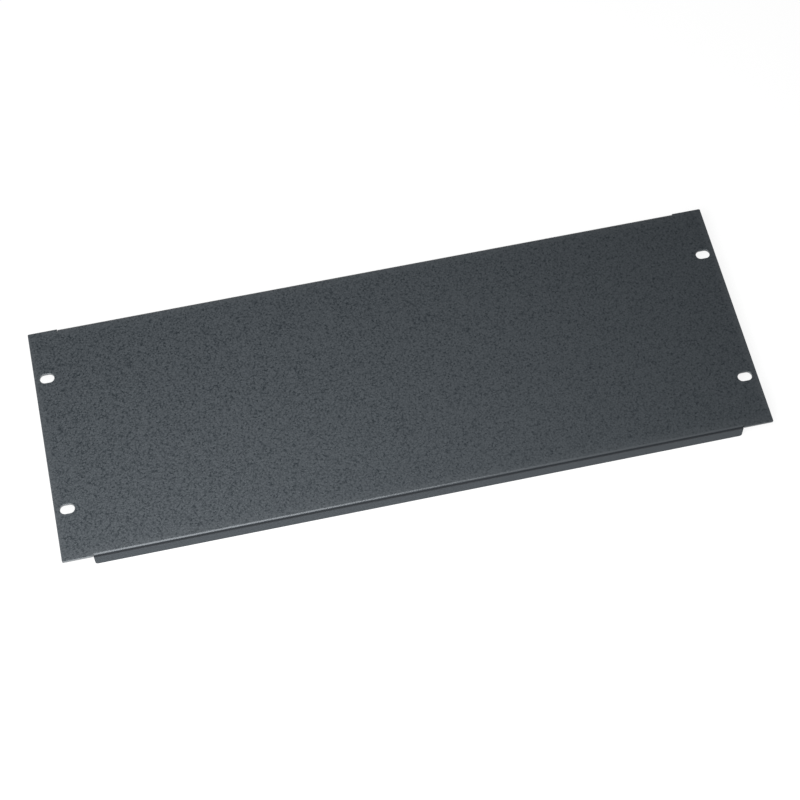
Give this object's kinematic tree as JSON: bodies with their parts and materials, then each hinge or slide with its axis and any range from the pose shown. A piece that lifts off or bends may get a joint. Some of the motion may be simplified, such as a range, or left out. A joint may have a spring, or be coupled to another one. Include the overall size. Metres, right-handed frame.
{
  "type": "rack blanking panel",
  "caption": "Folded sheet-steel blanking panel for a 19-inch rack, with slotted ears and stiffening flanges folded back along its top and bottom, in dark textured powder coat.",
  "frame": {"origin": "middle of the slot pattern, on the rear face of the ears that seats on the rack rails", "axes": "+X along the panel's width, +Y up the rack as mounted, +Z out of the front face"},
  "size_m": [0.4826, 0.177, 0.0127],
  "materials": {
    "powder_coat": "fine-textured semi-matte powder coat, dark blue-grey"
  },
  "bodies": {
    "root": {"panel": "powder_coat"}
  },
  "joints": []
}
